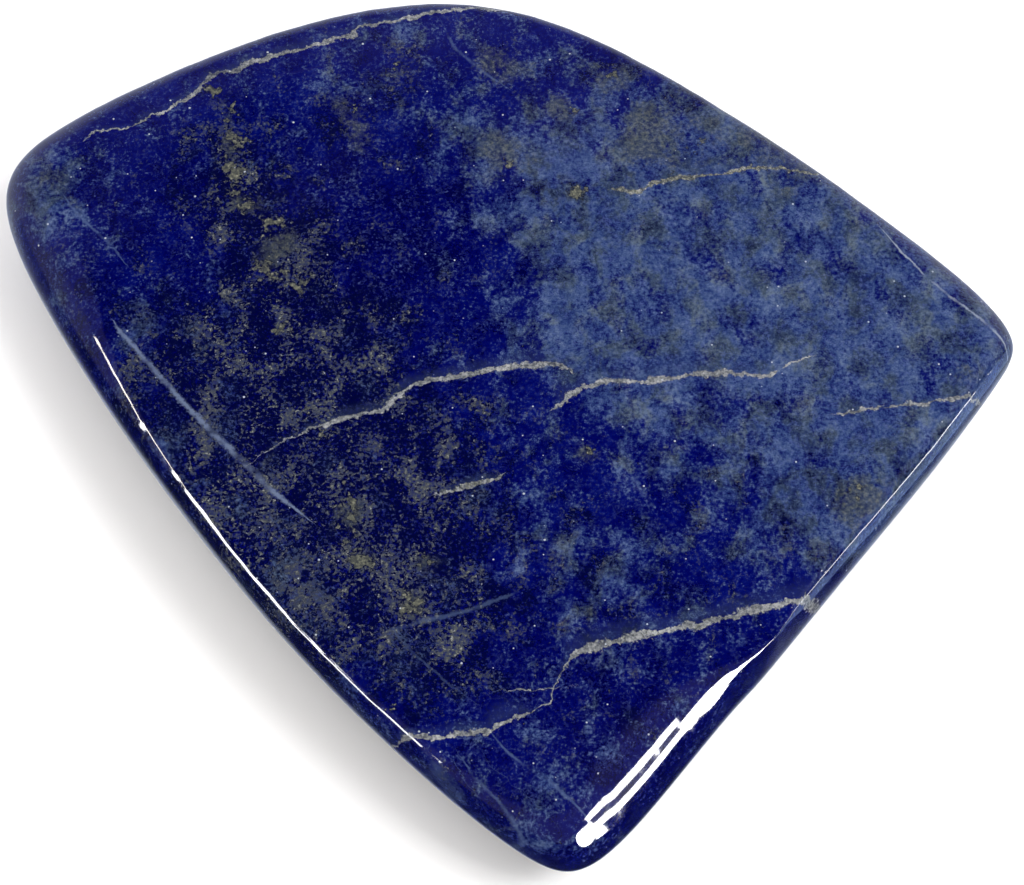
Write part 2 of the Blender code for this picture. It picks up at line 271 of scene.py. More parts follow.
# Where each marking starts to show and where it covers in full.
HAZE_EDGE = (0.08, 0.66)
CLOUD_EDGE = (0.44, 0.60)
FIBRE_EDGE = (0.0, 0.09)
FIBRE_BREAKS = (0.44, 0.60)
CROWD_EDGE = (0.12, 0.62)
DARK_EDGE = (0.38, 0.50)
BLUE_FLECK_EDGE = (0.71, 0.82)
GREY_FLECK_EDGE = (0.645, 0.705)
OLIVE_EDGE = (0.30, 0.75)
GRAIN_RIM_EDGE = (0.69, 0.75)
PYRITE_EDGE = (0.74, 0.79)
VEIN_STARTS = (0.02, 0.25)  # half the width of a vein
VEIN_SINKS = (0.1, 0.6)
VEIN_EDGE = (0.65, 1.15)  # in half widths from the middle of the vein
GOLDEN_EDGE = (0.45, 0.75)
HALO_STARTS = (0.0, 0.25)  # in shares of the halo's width
HALO_ENDS = (0.25, 1.0)
STREAK_EDGE = (0.2, 1.5)
STREAK_BREAKS = (0.28, 0.56)
STREAK_WHITENS = (0.6, 1.6)
SPARKLE_EDGE = (0.75, 1.1)
# How strongly the zones count beside the noise.
DEEP_WEIGHT = 0.20
HAZE_WEIGHT = 0.60
CLOUD_WEIGHT = 0.08
SPECKLE_WEIGHT = 0.85
GOLD_WEIGHT = 0.42
CROWDED_FLECKS = 0.14  # what full density adds to the grey flecks
# The tone of the ground, from dark to pale: what makes it, and its shift.
TONE_FROM_PATCHES = 0.9
TONE_FROM_GRAIN = 0.8
TONE_SHIFT = 0.05
PALE_FROM_PATCHES = 0.25  # what the patches add to the blue flecks
CALCITE_FROM_GRAIN = 0.6
CALCITE_FROM_PATCHES = 0.4
# How ragged the noises make each marking. Where two noises do it, the first is the stronger.
HAZE_RAGGED = (2.4, 1.3)
CROWD_RAGGED = 2.6
GREY_RAGGED = 0.9
OLIVE_RAGGED = (1.6, 0.9)
VEIN_RAGGED = (1.3, 0.9)
HALO_RAGGED = 0.5  # the share of the vein's raggedness that its halo has
SWELL_RAGGED = (3.6, 1.4)
GOLDEN_RAGGED = 3.0
STREAK_RAGGED = (3.2, 2.0)
STREAK_WANDER = 0.32  # the share of the veins' wandering that the streaks follow
# How much of what lies beneath each marking it hides.
CLOUD_COVER = 0.85
DARK_COVER = 0.85
GREY_FLECK_COVER = 0.9
OLIVE_COVER = 0.7
GRAIN_RIM_COVER = 0.6
PYRITE_COVER = 0.9
HALO_COVER = 0.22
GOLDEN_COVER = 0.8
FIBRE_COVER = 0.16
FIBRE_COVER_ADDED = 0.34  # in full haze
BLUE_FLECK_COVER = 0.55
BLUE_FLECK_COVER_LOST = 0.3  # where the speckles crowd
FEWEST_FLECKS = 0.16  # the share of the grey flecks that show away from the speckles
FLECKS_LOST = 0.6  # the share of them that full haze hides
HALO_WIDTHS = 5.0  # how many times as wide as the vein its halo is
LEAST_HALO = 0.02  # millimetres
LEAST_WIDTH = 0.004
LEAST_SWELL = 0.05
MEAN_SWELL = 0.85

# The noises behind the markings: how many millimetres across their largest features are, then
# their detail and their roughness.
PATCH_NOISE = (3.4, 5.0, 0.62)
PATCH_STRETCH = (1.0, 0.75, 1.0)  # the patches are a little longer along Y
SWIRL_SIZE = 2.5
SWIRL_AMOUNT = 2.2  # how far the swirls push the patches about
GRAIN_NOISE = (0.44, 3.0, 0.74)
LUMP_NOISE = (1.1, 3.0, 0.65)
FADING_NOISE = (2.6, 3.0)
WANDER_NOISE = (1.9, 4.0, 0.68)
WANDER_AMOUNT = 1.9  # how far the veins wander from their routes, to both sides together
NOISE_MIDDLE = 0.5

SPARKLE_SPACING = 1.1
SPARKLE_SHARE = 0.20  # of the places that could hold a sparkle
SPARKLE_SMALLEST = 0.04  # parts of the spacing
SPARKLE_LARGEST = 0.13

GLOSS = 0.06  # the roughness of the polish
VEIN_ROUGHNESS = 0.20  # what each of the duller things adds to it
FLECK_ROUGHNESS = 0.12
PYRITE_ROUGHNESS = 0.22
PYRITE_METAL = 0.12
STONE_IOR = 1.5
WAVE_NOISE = (1.4, 1.0)  # the polish is very faintly uneven, and a little lower along the veins
WAVE_HEIGHT = 0.006
VEIN_DROP = 0.01

FLOOR_HALF = 2.0  # metres, like all sizes of the studio
FLOOR_DROP = 0.0001
FLOOR_WHITE = (0.9, 0.9, 0.9, 1.0)

WARM_WHITE = (1.0, 0.975, 0.94)
CANDLE_WHITE = (1.0, 0.93, 0.82)
PLAIN_WHITE = (1.0, 1.0, 1.0)
SKY_BLUE = (0.42, 0.60, 1.0)
LAMP_WATTS = 4.0  # for each square metre of a lamp, at a radiance of 1

# The lamps: name, azimuth in degrees from +X towards +Y, height angle, distance, width, height,
# radiance and colour. Then, where it isn't an upright rectangle, its turn in degrees and its shape.
# These light the stone and cast its shadow.
LIGHTING_LAMPS = [
    ("main_box", -24.0, 58.0, 0.9, 0.34, 0.34, 13.0, PLAIN_WHITE),
    ("ceiling_box", 90.0, 86.0, 1.1, 1.40, 1.40, 1.25, WARM_WHITE),
    ("back_fill", 150.0, 45.0, 1.1, 0.50, 0.50, 1.6, PLAIN_WHITE),
    ("front_fill", -90.0, 40.0, 1.2, 1.40, 0.80, 1.4, WARM_WHITE),
]
# The polish reflects these. On the right there are an upper and a lower strip with a grey gap
# between them, closed by a head, a cheek and a foot, then a thin strip and a broad dim glow. Some
# lie below the floor's level, where a glossy table would mirror them. On the left there are a tall
# strip and two small ones.
GLOSS_LAMPS = [
    ("right_upper_strip", -23.5, 19.0, 0.8, 0.18, 0.18, 30.0, PLAIN_WHITE),
    ("right_cheek", -33.6, 4.5, 0.8, 0.155, 0.20, 30.0, PLAIN_WHITE),
    ("right_lower_strip", -28.5, -3.8, 0.8, 0.21, 0.165, 30.0, PLAIN_WHITE),
    ("right_foot", -41.0, -8.0, 0.8, 0.29, 0.50, 30.0, PLAIN_WHITE, 0.0, "ELLIPSE"),
    ("right_head", -30.0, -17.0, 0.8, 0.084, 0.25, 30.0, PLAIN_WHITE),
    ("right_gap", -23.0, 6.5, 0.82, 0.14, 0.14, 0.7, PLAIN_WHITE),
    ("right_thin_strip", -10.5, -25.0, 0.8, 0.22, 0.04, 10.0, PLAIN_WHITE),
    ("right_low_glow", 2.0, -36.0, 0.85, 0.32, 0.36, 0.8, SKY_BLUE),
    ("left_tall_strip", 190.0, 31.0, 0.8, 0.25, 0.50, 26.0, PLAIN_WHITE, 12.0),
    ("left_wing", 175.0, 34.0, 0.8, 0.20, 0.07, 24.0, CANDLE_WHITE),
    ("left_foot", 208.0, 21.0, 0.8, 0.22, 0.18, 24.0, PLAIN_WHITE),
]

# The glow all round, from straight below at 0 to straight above at 1. The face mirrors what is
# behind and high up: a dim blue glow, and above it darkness.
GLOW_BEHIND = [
    (0.10, (0.50, 0.55, 0.66, 1.0)),
    (0.52, (0.70, 0.74, 0.84, 1.0)),
    (0.70, (0.50, 0.54, 0.66, 1.0)),
    (0.80, (0.20, 0.20, 0.40, 1.0)),
    (0.893, (0.19, 0.18, 0.36, 1.0)),
    (0.908, (0.008, 0.012, 0.028, 1.0)),
]
GLOW_IN_FRONT = [
    (0.44, (0.02, 0.025, 0.05, 1.0)),
    (0.52, (0.30, 0.29, 0.28, 1.0)),
    (0.85, (0.26, 0.25, 0.24, 1.0)),
]
GLOW_CHANGES = (0.05, 0.35)  # how far to the back the one glow starts to give way and has done so


def closed_spline(knots, values, places):
    """A smooth closed curve through the values at the knots. The last knot closes the loop."""
    gaps = np.diff(knots)
    count = len(gaps)
    matrix = np.zeros((count, count))
    slopes = (np.roll(values, -1, axis=0) - values) / gaps[:, None]
    for row in range(count):
        before = row - 1
        matrix[row, before] += gaps[before]
        matrix[row, row] += 2 * (gaps[before] + gaps[row])
        matrix[row, (row + 1) % count] += gaps[row]
    bends = np.linalg.solve(matrix, 6 * (slopes - np.roll(slopes, 1, axis=0)))
    span = np.clip(np.searchsorted(knots, places, side="right") - 1, 0, count - 1)
    following = (span + 1) % count
    gap = gaps[span][:, None]
    ahead = (places - knots[span])[:, None]
    behind = gap - ahead
    return (
        (bends[span] * behind**3 + bends[following] * ahead**3) / (6 * gap)
        + (values[span] / gap - bends[span] * gap / 6) * behind
        + (values[following] / gap - bends[following] * gap / 6) * ahead
    )


def spread_round(values, spread):
    """The values averaged with their neighbours along the outline, over about that many millimetres."""
    count = len(values)
    steps = np.minimum(np.arange(count), count - np.arange(count))
    weights = np.exp(-0.5 * (steps * OUTLINE_STEP / spread) ** 2)
    kernel = np.fft.rfft(weights / weights.sum())[:, None]
    return np.fft.irfft(np.fft.rfft(values, axis=0) * kernel, count, axis=0)


def unit(vectors):
    return vectors / np.linalg.norm(vectors, axis=1)[:, None]


def rim_of_the_stone():
    """Points along the widest outline, with the roll-over there and the ways in above and below."""
    stations = np.array(STATIONS)
    chords = np.linalg.norm(np.roll(stations, -1, axis=0)[:, :2] - stations[:, :2], axis=1)
    # The square root of each chord keeps the curve from swinging wide at the short ones.
    knots = np.concatenate([[0.0], np.cumsum(chords**0.5)])
    fine = np.linspace(0, knots[-1], SPLINE_SAMPLES, endpoint=False)
    table = closed_spline(knots, stations, fine)
    closed = np.vstack([table, table[:1]])
    along = np.concatenate([[0.0], np.cumsum(np.linalg.norm(np.diff(closed[:, :2], axis=0), axis=1))])
    count = round(along[-1] / OUTLINE_STEP)
    even = np.linspace(0, along[-1], count, endpoint=False)
    table = np.column_stack([np.interp(even, along, column) for column in closed.T])
    tangent = unit(np.roll(table, -1, axis=0)[:, :2] - np.roll(table, 1, axis=0)[:, :2])
    inward = np.column_stack([tangent[:, 1], -tangent[:, 0]])
    turning = np.abs(np.cross(tangent, np.roll(tangent, -1, axis=0)))
    return {
        "place": table[:, :2],
        "roll_in": table[:, 2],
        "roll_down": table[:, 3],
        "way_in_above": unit(spread_round(inward, UPPER_TURN_SPREAD)),
        "way_in_below": unit(spread_round(inward, LOWER_TURN_SPREAD)),
        "turning": np.degrees(np.arcsin(np.clip(turning, 0, 1))),
    }


def waved(rim):
    """The rim with its roll-over a little wider here and narrower there, and pinched at one place."""
    around = np.linspace(0, 2 * np.pi, len(rim["roll_in"]), endpoint=False)
    wave = sum(size * np.sin(count * around + np.radians(phase)) for size, count, phase in ROLL_WAVES)
    x, y, reach, share = ROLL_PINCH
    away = np.hypot(rim["place"][:, 0] - x, rim["place"][:, 1] - y)
    pinch = 1.0 - share * np.exp(-0.5 * (away / reach) ** 2)
    return {**rim, "roll_in": rim["roll_in"] * pinch + wave}


def thin_out(rim, longest, sharpest):
    """Keeps the points of the rim that leave no facet longer or turning more sharply than this."""
    used = np.cumsum(OUTLINE_STEP / longest + rim["turning"] / sharpest)
    count = round(used[-1])
    keep = np.searchsorted(used, (np.arange(count) + 0.5) * used[-1] / count)
    return {name: values[keep] for name, values in rim.items()}


def face_height(place):
    """The polished face: a crown, with the faint ripples that hand polishing leaves."""
    away = np.linalg.norm(place - np.array(CROWN_PLACE), axis=1)
    height = THICKNESS - CROWN * (away / CROWN_REACH) ** 2
    for size, wavelength, direction, phase in RIPPLES:
        heading = np.array([np.cos(np.radians(direction)), np.sin(np.radians(direction))])
        height += size * np.sin(2 * np.pi * (place @ heading) / wavelength + np.radians(phase))
    return height


def rings_of_the_stone(rim):
    """The loft's rings, from the middle of the base out to its edge, up over the outline and the
    roll-over, then in across the face to the crown."""
    roll_in = rim["roll_in"][:, None]
    middle = np.array(CROWN_PLACE)
    sides = []
    outline_height = face_height(rim["place"]) - rim["roll_down"]
    for turn in np.radians(np.linspace(TUCK_ANGLE, 0, TUCK_RINGS + 1)):
        inset = TUCK * (1 - np.cos(turn)) / (1 - np.cos(np.radians(TUCK_ANGLE)))
        height = outline_height * (1 - np.sin(turn) / np.sin(np.radians(TUCK_ANGLE)))
        sides.append(np.column_stack([rim["place"] + rim["way_in_below"] * inset, height]))
    for turn in np.radians(np.linspace(90, 0, SHOULDER_RINGS + 1))[1:]:
        place = rim["place"] + rim["way_in_above"] * roll_in * (1 - np.sin(turn))
        drop = rim["roll_down"] * (1 - np.cos(turn))
        sides.append(np.column_stack([place, face_height(place) - drop]))
    base = []
    for share in np.linspace(0, 1, BASE_RINGS + 1)[1:-1]:
        place = middle + (sides[0][:, :2] - middle) * share
        base.append(np.column_stack([place, np.zeros(len(place))]))
    face = []
    for share in np.linspace(1, 0, FACE_RINGS + 1)[1:-1]:
        place = middle + (sides[-1][:, :2] - middle) * share
        face.append(np.column_stack([place, face_height(place)]))
    foot = np.append(middle, 0.0)
    crown = np.append(middle, face_height(middle[None])[0])
    return base + sides + face, foot, crown


def loft(name, rings, foot, crown):
    """A closed mesh: quads between the rings, with a fan at the crown and another at the foot."""
    mesh = bmesh.new()
    rows = [[mesh.verts.new(point * MM) for point in ring] for ring in rings]
    top = mesh.verts.new(crown * MM)
    bottom = mesh.verts.new(foot * MM)
    count = len(rows[0])
    for lower, upper in zip(rows, rows[1:]):
        for here in range(count):
            there = (here + 1) % count
            mesh.faces.new((lower[here], upper[here], upper[there], lower[there]))
    for here in range(count):
        there = (here + 1) % count
        mesh.faces.new((rows[-1][here], top, rows[-1][there]))
        mesh.faces.new((rows[0][there], bottom, rows[0][here]))
    bmesh.ops.recalc_face_normals(mesh, faces=mesh.faces)
    for face in mesh.faces:
        face.smooth = True
    for edge in mesh.edges:
        edge.smooth = edge.calc_face_angle(0.0) < SHARP_EDGE
    made = bpy.data.meshes.new(name)
    mesh.to_mesh(made)
    mesh.free()
    return made


def strength_round(plan, spots, lowest=0.0):
    """How strongly a zone shows at each place, from its spots, between the lowest and 1."""
    total = np.zeros(len(plan))
    for x, y, radius, strength in spots:
        away = np.hypot(plan[:, 0] - x, plan[:, 1] - y)
        total += strength * np.exp(-0.5 * (away / radius) ** 2)
    return np.clip(total, lowest, 1.0)


def nearest_line(plan, lines):
    """For each place the line that comes nearest: how far to its side it is (signed, so that noise can
    push the line about), half the line's width there, and the line's own share."""
    nearest = np.full(len(plan), np.inf)
    offset = np.zeros(len(plan))
    width = np.zeros(len(plan))
    share = np.zeros(len(plan))
    for line_share, route in lines:
        for (x0, y0, w0), (x1, y1, w1) in zip(route, route[1:]):
            way = np.array([x1 - x0, y1 - y0])
            from_start = plan - np.array([x0, y0])
            along = np.clip(from_start @ way / (way @ way), 0.0, 1.0)
            aside = from_start - along[:, None] * way
            away = np.linalg.norm(aside, axis=1)
            side = np.sign(way[0] * from_start[:, 1] - way[1] * from_start[:, 0])
            here = w0 + (w1 - w0) * along
            closer = away - here < nearest
            nearest[closer] = (away - here)[closer]
            offset[closer] = (away * side)[closer]
            width[closer] = here[closer]
            share[closer] = line_share
    width[np.abs(offset) > VEIN_REACH] = 0.0
    return np.clip(offset, -2 * VEIN_REACH, 2 * VEIN_REACH), width, share


def mark_the_stone(mesh):
    """Writes the veins, streaks and zones on the mesh, as values for the material to read."""
    points = np.empty(len(mesh.vertices) * 3)
    mesh.vertices.foreach_get("co", points)
    points = points.reshape(-1, 3) / MM
    depth = np.maximum(face_height(points[:, :2]) - points[:, 2], 0.0)
    plan = points[:, :2] + depth[:, None] * np.array(DIP)
    vein_offset, vein_width, vein_gold = nearest_line(plan, VEINS)
    twig_offset, twig_width, twig_gold = nearest_line(plan, TWIGS)
    streak_offset, streak_width, streak_pale = nearest_line(plan, STREAKS)
    values = {
        "vein_offset": vein_offset,
        "vein_width": vein_width,
        "vein_gold": vein_gold,
        "twig_offset": twig_offset,
        "twig_width": twig_width,
        "twig_gold": twig_gold,
        "streak_offset": streak_offset,
        "streak_width": streak_width,
        "streak_pale": streak_pale,
        "haze": strength_round(plan, MILKY_AND_SHEEN_SPOTS, lowest=-1.0),
        "deep": strength_round(plan, DEEP_SPOTS),
        "speckle": strength_round(plan, SPECKLE_SPOTS),
        "olive": strength_round(plan, OLIVE_SPOTS),
        "gold": strength_round(plan, GOLD_SPOTS),
    }
    for name, amounts in values.items():
        layer = mesh.attributes.new(name, "FLOAT", "POINT")
        layer.data.foreach_set("value", amounts.astype(np.float32))


class Flow:
    """A socket that Python's own operators work on. Each one adds a Math node."""

    def __init__(self, recipe, socket):
        self.recipe = recipe
        self.socket = socket

    def __add__(self, other):
        return self.recipe.maths("ADD", self, other)

    def __sub__(self, other):
        return self.recipe.maths("SUBTRACT", self, other)

    def __rsub__(self, other):
        return self.recipe.maths("SUBTRACT", other, self)

    def __mul__(self, other):
        return self.recipe.maths("MULTIPLY", self, other)

    def __truediv__(self, other):
        return self.recipe.maths("DIVIDE", self, other)

    def __abs__(self):
        return self.recipe.maths("ABSOLUTE", self)

    __radd__ = __add__
    __rmul__ = __mul__


class Recipe:
    """The nodes of one material, or of the world."""

    def __init__(self, tree):
        self.tree = tree
        tree.nodes.clear()

    def node(self, kind, settings, values, output=0):
        """Adds a node of that kind. Its settings are set first, then the values or links of its
        sockets. What comes back is the named output, or a list where several are named."""
        made = self.tree.nodes.new(kind)
        for name, setting in settings.items():
            if name == "stops":
                self.fill_ramp(made.color_ramp, setting)
            else:
                setattr(made, name, setting)
        for name, value in values.items():
            if isinstance(value, Flow):
                self.tree.links.new(value.socket, made.inputs[name])
            else:
                made.inputs[name].default_value = value
        if isinstance(output, tuple):
            return [Flow(self, made.outputs[name]) for name in output]
        return Flow(self, made.outputs[output]) if len(made.outputs) else made

    def fill_ramp(self, ramp, stops):
        while len(ramp.elements) < len(stops):
            ramp.elements.new(1.0)
        for element, (position, colour) in zip(ramp.elements, stops):
            element.position = position
            element.color = colour

    def maths(self, operation, *values):
        return self.node("ShaderNodeMath", {"operation": operation}, dict(enumerate(values)))

    def larger(self, one, other):
        return self.maths("MAXIMUM", one, other)

    def clamped(self, value):
        return self.node("ShaderNodeClamp", {}, {"Value": value})

    def eased(self, value, low, high):
        """Nothing below low, all above high, and an even curve between."""
        return self.node(
            "ShaderNodeMapRange",
            {"interpolation_type": "SMOOTHSTEP"},
            {"Value": value, "From Min": low, "From Max": high},
        )

    def mixed(self, share, one, other):
        """One colour giving way to the other. The Mix node has its colours at sockets 6 and 7."""
        return self.node("ShaderNodeMix", {"data_type": "RGBA"}, {0: share, 6: one, 7: other}, 2)

    def ramp(self, value, stops):
        return self.node("ShaderNodeValToRGB", {"stops": stops}, {"Fac": value})

    def mark(self, name):
        """A value that is written on the mesh."""
        return self.node("ShaderNodeAttribute", {"attribute_name": name}, {}, "Fac")

    def moved(self, place, shift):
        return self.node("ShaderNodeVectorMath", {"operation": "ADD"}, {0: place, 1: shift})

    def scaled(self, place, factors):
        return self.node("ShaderNodeVectorMath", {"operation": "MULTIPLY"}, {0: place, 1: factors})

    def noise(self, place, size, detail=2.0, roughness=0.5, output="Fac"):
        """Soft noise whose largest features are about that many millimetres across."""
        return self.node(
            "ShaderNodeTexNoise",
            {},
            {"Vector": place, "Scale": 1.0 / size, "Detail": detail, "Roughness": roughness},
            output,
        )

    def warped(self, place, size, amount):
        """The places pushed about at random, by up to half the amount."""
        push = self.noise(place, size, 1.0, output="Color")
        centred = self.moved(push, (-NOISE_MIDDLE, -NOISE_MIDDLE, -NOISE_MIDDLE))
        return self.moved(place, self.scaled(centred, (amount, amount, amount)))

    def scattered(self, place, spacing, share, smallest, largest):
        """Separate dots: that share of the cells holds one. The sizes are parts of the spacing."""
        distance, chance = self.node(
            "ShaderNodeTexVoronoi",
            {},
            {"Vector": place, "Scale": 1.0 / spacing},
            ("Distance", "Color"),
        )
        lots = self.split(chance)
        radius = lots["green"] * (largest - smallest) + smallest
        chosen = self.maths("LESS_THAN", lots["red"], share)
        inside = 1.0 - self.eased(distance / radius, *SPARKLE_EDGE)
        return inside * chosen

    def split(self, colour):
        """Three separate noises out of one coloured one."""
        parts = self.node("ShaderNodeSeparateColor", {}, {"Color": colour}, ("Red", "Green", "Blue"))
        return dict(zip(("red", "green", "blue"), parts))


def seen_as(shown):
    """The surface colour that shows as this display colour under the light on the face."""
    display = np.array(shown) / 255.0
    # Display colours are stored on the sRGB curve. This undoes it.
    linear = np.where(display <= 0.04045, display / 12.92, ((display + 0.055) / 1.055) ** 2.4)
    return (*(float(part) / FACE_LIGHT for part in linear), 1.0)


def shades(stops):
    """A ramp's stops, with surface colours for the display colours."""
    return [(position, seen_as(shown)) for position, shown in stops]


def swing(noise, amount):
    """The noise as a push either way, by up to half the amount."""
    return (noise - NOISE_MIDDLE) * amount


def ragged(stronger, weaker, amounts):
    """Two noises as one push either way."""
    return swing(stronger, amounts[0]) + swing(weaker, amounts[1])


def blue_ground(recipe, patches, grain):
    """The blue itself: deep ultramarine, and milky steel blue with grey-green clouds in the haze, part of
    which is painted reflected haze along the lower left edge.
    """
    tone = patches["red"] * TONE_FROM_PATCHES + swing(grain["red"], TONE_FROM_GRAIN) + TONE_SHIFT
    deep = recipe.ramp(tone - recipe.mark("deep") * DEEP_WEIGHT, shades(DEEP_BLUES))
    milky = recipe.ramp(tone, shades(MILKY_BLUES))
    clouds = recipe.ramp(tone, shades(GREEN_GREYS))
    hazy = recipe.mark("haze") * HAZE_WEIGHT + ragged(patches["green"], grain["red"], HAZE_RAGGED)
    milky_and_sheen_share = recipe.eased(hazy, *HAZE_EDGE)
    clouded = recipe.eased(patches["blue"] + recipe.mark("speckle") * CLOUD_WEIGHT, *CLOUD_EDGE)
    haze = recipe.mixed(clouded * CLOUD_COVER, milky, clouds)
    return recipe.mixed(milky_and_sheen_share, deep, haze), milky_and_sheen_share


def fibrous(recipe, colour, wander, grain, milky_and_sheen_share):
    """Thin pale fibres that wind through the stone."""
    unbroken = 1.0 - recipe.eased(abs(wander), *FIBRE_EDGE)
    fibres = unbroken * recipe.eased(grain["green"], *FIBRE_BREAKS)
    cover = milky_and_sheen_share * FIBRE_COVER_ADDED + FIBRE_COVER
    return recipe.mixed(fibres * cover, colour, seen_as(FIBRE_BLUE))


def flecked(recipe, colour, patches, grain, milky_and_sheen_share):
    """Fine flecks all over: khaki ones on near-black where the speckles crowd, pale blue elsewhere."""
    crowd = recipe.mark("speckle") * SPECKLE_WEIGHT + swing(patches["blue"], CROWD_RAGGED)
    density = recipe.clamped(crowd)
    dark_share = recipe.eased(crowd, *CROWD_EDGE) * recipe.eased(grain["blue"], *DARK_EDGE)
    colour = recipe.mixed(dark_share * DARK_COVER, colour, seen_as(NEAR_BLACK))
    blue_amount = grain["red"] + patches["green"] * PALE_FROM_PATCHES
    blue_flecks = recipe.eased(blue_amount, *BLUE_FLECK_EDGE)
    blue_cover = BLUE_FLECK_COVER - density * BLUE_FLECK_COVER_LOST
    colour = recipe.mixed(blue_flecks * blue_cover, colour, seen_as(FLECK_BLUE))
    grey_amount = grain["green"] + swing(patches["red"], GREY_RAGGED) + density * CROWDED_FLECKS
    grey_flecks = recipe.eased(grey_amount, *GREY_FLECK_EDGE)
    common = density * (1.0 - FEWEST_FLECKS) + FEWEST_FLECKS
    share = grey_flecks * common * (1.0 - milky_and_sheen_share * FLECKS_LOST)
    grey = recipe.ramp(grain["blue"], shades(FLECK_GREYS))
    return recipe.mixed(share * GREY_FLECK_COVER, colour, grey), share


def golden_patches(recipe, place, colour, patches, grain):
    """Olive patches with coarse grains of pyrite in them, each grain with a dark rim."""
    olive_amount = recipe.mark("olive") + ragged(patches["green"], grain["green"], OLIVE_RAGGED)
    olive_share = recipe.eased(olive_amount, *OLIVE_EDGE)
    olive = recipe.ramp(grain["red"], shades(OLIVES))
    colour = recipe.mixed(olive_share * OLIVE_COVER, colour, olive)
    lumps = recipe.mark("gold") * GOLD_WEIGHT + recipe.noise(place, *LUMP_NOISE)
    rims = recipe.eased(lumps, *GRAIN_RIM_EDGE)
    colour = recipe.mixed(rims * GRAIN_RIM_COVER, colour, seen_as(GRAIN_RIM))
    grains = recipe.eased(lumps, *PYRITE_EDGE)
    gold = recipe.ramp(grain["green"], shades(PYRITES))
    return recipe.mixed(grains * PYRITE_COVER, colour, gold), grains, gold


def veined(recipe, name, wander, colour, patches, grain, gold):
    """A vein of grey calcite with golden grains, ragged, with a pale halo on its upper side."""
    offset = recipe.mark(name + "_offset") + wander
    width = recipe.mark(name + "_width")
    present = recipe.eased(width, *VEIN_STARTS)
    rough = ragged(grain["red"], grain["blue"], VEIN_RAGGED)
    outward = offset / (width * HALO_WIDTHS + LEAST_HALO)
    faded = recipe.eased(outward + rough * HALO_RAGGED, *HALO_ENDS)
    halo = recipe.eased(outward, *HALO_STARTS) * (1.0 - faded)
    colour = recipe.mixed(halo * present * HALO_COVER, colour, seen_as(HALO_BLUE))
    swell = ragged(patches["blue"], grain["green"], SWELL_RAGGED) + MEAN_SWELL
    swelled = width * recipe.larger(swell, LEAST_SWELL) + LEAST_WIDTH
    across = abs(offset) / swelled + rough
    vein = 1.0 - recipe.eased(across, *VEIN_EDGE)
    calcite_tone = grain["green"] * CALCITE_FROM_GRAIN + patches["red"] * CALCITE_FROM_PATCHES
    calcite = recipe.ramp(calcite_tone, shades(CALCITES))
    golden_amount = recipe.mark(name + "_gold") + swing(grain["blue"], GOLDEN_RAGGED)
    golden = recipe.eased(golden_amount, *GOLDEN_EDGE)
    filling = recipe.mixed(golden * GOLDEN_COVER, calcite, gold)
    return recipe.mixed(vein, colour, filling), vein


def streaked(recipe, place, colour, wander, grain):
    """Healed cracks, soft and pale, one of which also paints a rim highlight at the right corner."""
    aside = abs(recipe.mark("streak_offset") + wander * STREAK_WANDER)
    width = recipe.mark("streak_width") + LEAST_WIDTH
    across = aside / width + ragged(grain["red"], grain["green"], STREAK_RAGGED)
    fading = recipe.eased(recipe.noise(place, *FADING_NOISE), *STREAK_BREAKS)
    strength = recipe.mark("streak_pale")
    streak = (1.0 - recipe.eased(across, *STREAK_EDGE)) * strength * fading
    whiteness = recipe.eased(strength, *STREAK_WHITENS)
    pale = recipe.mixed(whiteness, seen_as(STREAK_BLUE), seen_as(STREAK_AND_HIGHLIGHT_WHITE))
    return recipe.mixed(streak, colour, pale)


def lapis_material():
    material = bpy.data.materials.new("polished_lapis")
    material.use_nodes = True
    recipe = Recipe(material.node_tree)
    coordinates = recipe.node("ShaderNodeTexCoord", {}, {}, "Object")
    place = recipe.scaled(coordinates, (1.0 / MM, 1.0 / MM, 1.0 / MM))
    drawn_out = recipe.warped(recipe.scaled(place, PATCH_STRETCH), SWIRL_SIZE, SWIRL_AMOUNT)
    patches = recipe.split(recipe.noise(drawn_out, *PATCH_NOISE, output="Color"))
    grain = recipe.split(recipe.noise(place, *GRAIN_NOISE, output="Color"))
    wander = swing(recipe.noise(place, *WANDER_NOISE), WANDER_AMOUNT)

    colour, milky_and_sheen_share = blue_ground(recipe, patches, grain)
    colour = fibrous(recipe, colour, wander, grain, milky_and_sheen_share)
    colour, flecks = flecked(recipe, colour, patches, grain, milky_and_sheen_share)
    colour, grains, gold = golden_patches(recipe, place, colour, patches, grain)
    colour = streaked(recipe, place, colour, wander, grain)
    colour, twig = veined(recipe, "twig", wander, colour, patches, grain, gold)
    colour, vein = veined(recipe, "vein", wander, colour, patches, grain, gold)
    sparkle = recipe.scattered(
        place, SPARKLE_SPACING, SPARKLE_SHARE, SPARKLE_SMALLEST, SPARKLE_LARGEST
    )
    colour = recipe.mixed(sparkle, colour, seen_as(SPARKLE_WHITE))

    dull_veins = recipe.larger(vein, twig) * VEIN_ROUGHNESS
    dull_specks = recipe.larger(flecks * FLECK_ROUGHNESS, grains * PYRITE_ROUGHNESS)
    roughness = recipe.larger(dull_veins, dull_specks) + GLOSS
    metal = grains * PYRITE_METAL
    sunk = recipe.eased(recipe.mark("vein_width"), *VEIN_SINKS) * VEIN_DROP
    relief = recipe.noise(place, *WAVE_NOISE) * WAVE_HEIGHT - sunk
    bump = recipe.node(
        "ShaderNodeBump", {}, {"Height": relief * MM, "Strength": 1.0, "Distance": 1.0}, "Normal"
    )
    shader = recipe.node(
        "ShaderNodeBsdfPrincipled",
        {},
        {
            "Base Color": colour,
            "Roughness": roughness,
            "Metallic": metal,
            "IOR": STONE_IOR,
            "Normal": bump,
        },
    )
    recipe.node("ShaderNodeOutputMaterial", {}, {"Surface": shader})
    return material


